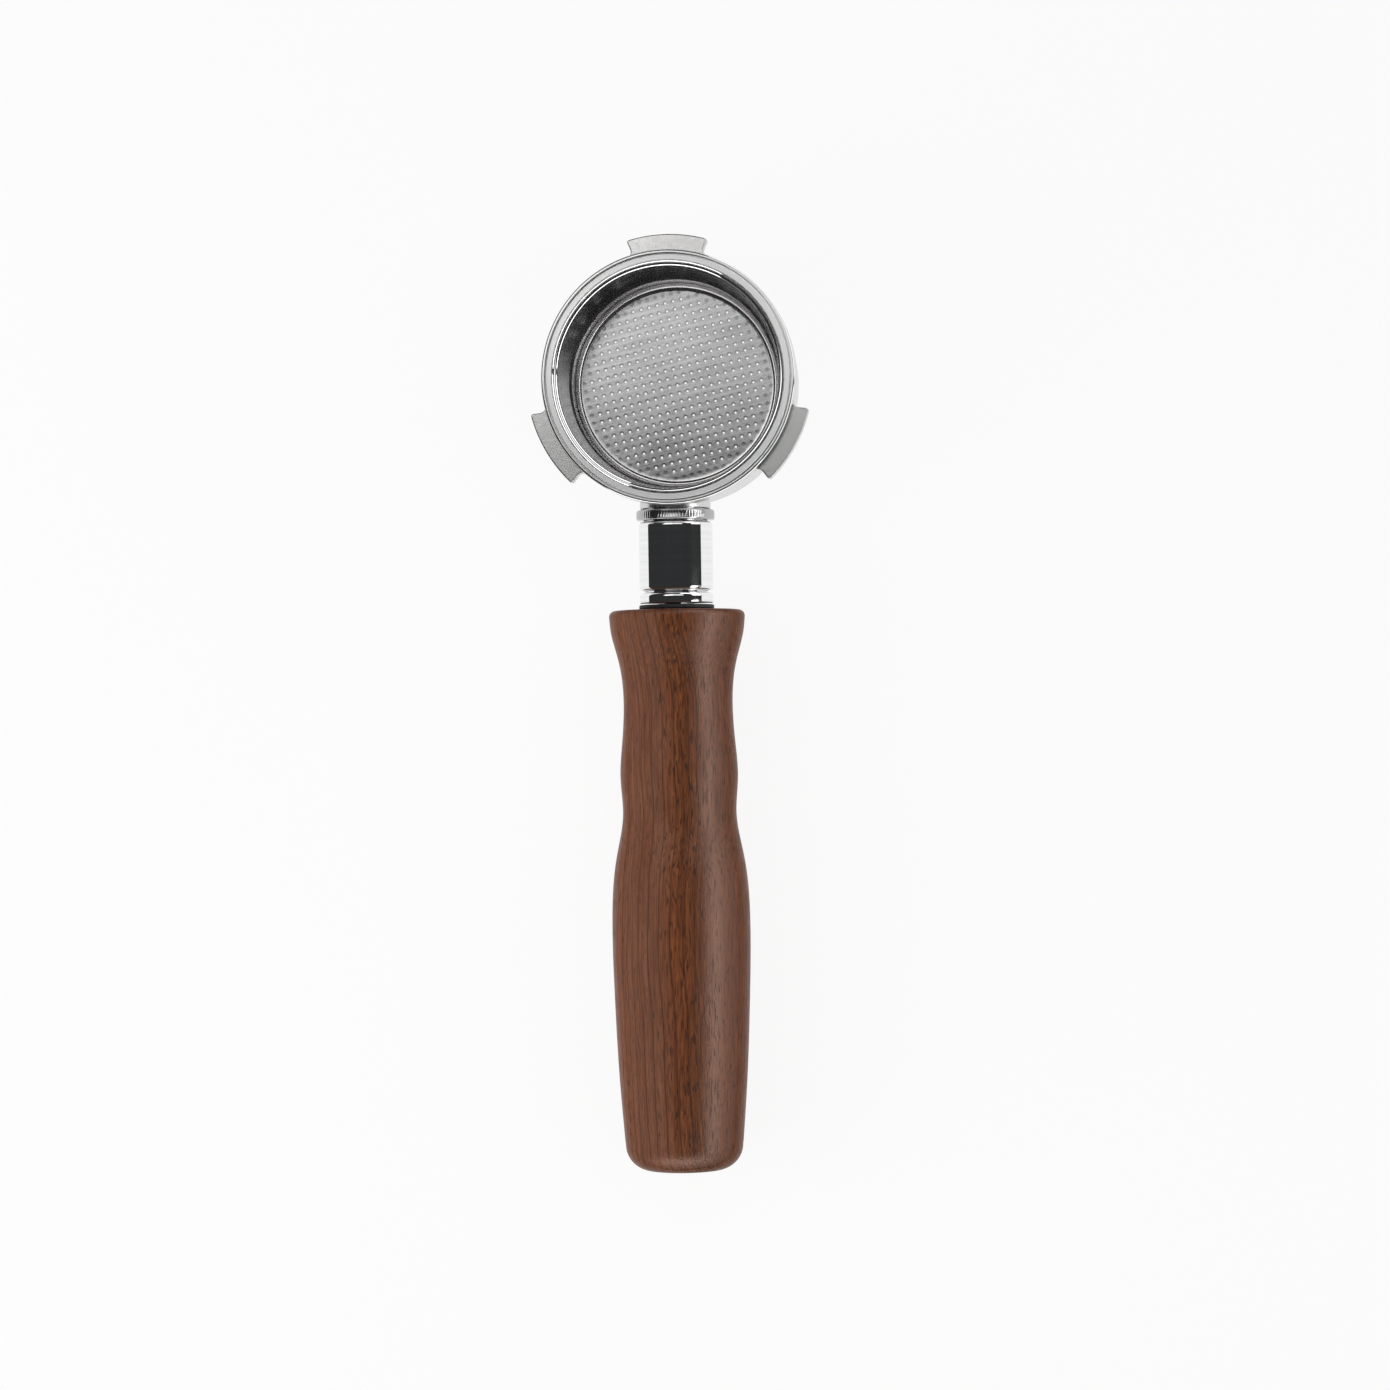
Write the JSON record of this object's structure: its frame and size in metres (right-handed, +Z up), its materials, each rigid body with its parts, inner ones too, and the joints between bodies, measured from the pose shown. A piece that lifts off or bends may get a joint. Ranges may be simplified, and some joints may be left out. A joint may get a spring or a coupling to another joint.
{
  "type": "portafilter",
  "caption": "Bottomless espresso portafilter: steel head with bayonet lugs, lift-out perforated filter basket, polished neck and turned dark wood handle.",
  "frame": {"origin": "on the head's axis, in the plane that the head's lower edge and the handle rest on", "axes": "+Z up along the head's axis, out of the basket's mouth; -Y along the handle, away from the head; +X to the right when the handle points towards the viewer"},
  "size_m": [0.067, 0.2264, 0.0335],
  "materials": {
    "satin_steel": "satin, bead-blasted lugs",
    "basket_steel": "polished wall and mouth, satin floor",
    "polished_steel": "mirror polish",
    "spring_steel": "drawn wire",
    "zinc_plated_steel": "bright zinc plate",
    "brass": "turned",
    "black_rubber": "matt",
    "dark_wood": "oiled, satin, straight grain along the handle"
  },
  "bodies": {
    "head_and_handle": {"head_ring": "satin_steel", "retaining_spring": "spring_steel", "neck_collar": "polished_steel", "neck_sleeve": "polished_steel", "neck_ferrule": "polished_steel", "handle_washer": "black_rubber", "tie_stud": "zinc_plated_steel", "stud_lock_washer": "spring_steel", "stud_lock_nut": "zinc_plated_steel", "handle_insert": "brass", "wooden_handle": "dark_wood"},
    "basket": {"filter_basket": "basket_steel"}
  },
  "joints": [
    {"name": "basket_lift", "type": "slide", "parent": "head_and_handle", "child": "basket", "axis": [0, 0, 1], "range_m": [0, 0.04]}
  ]
}
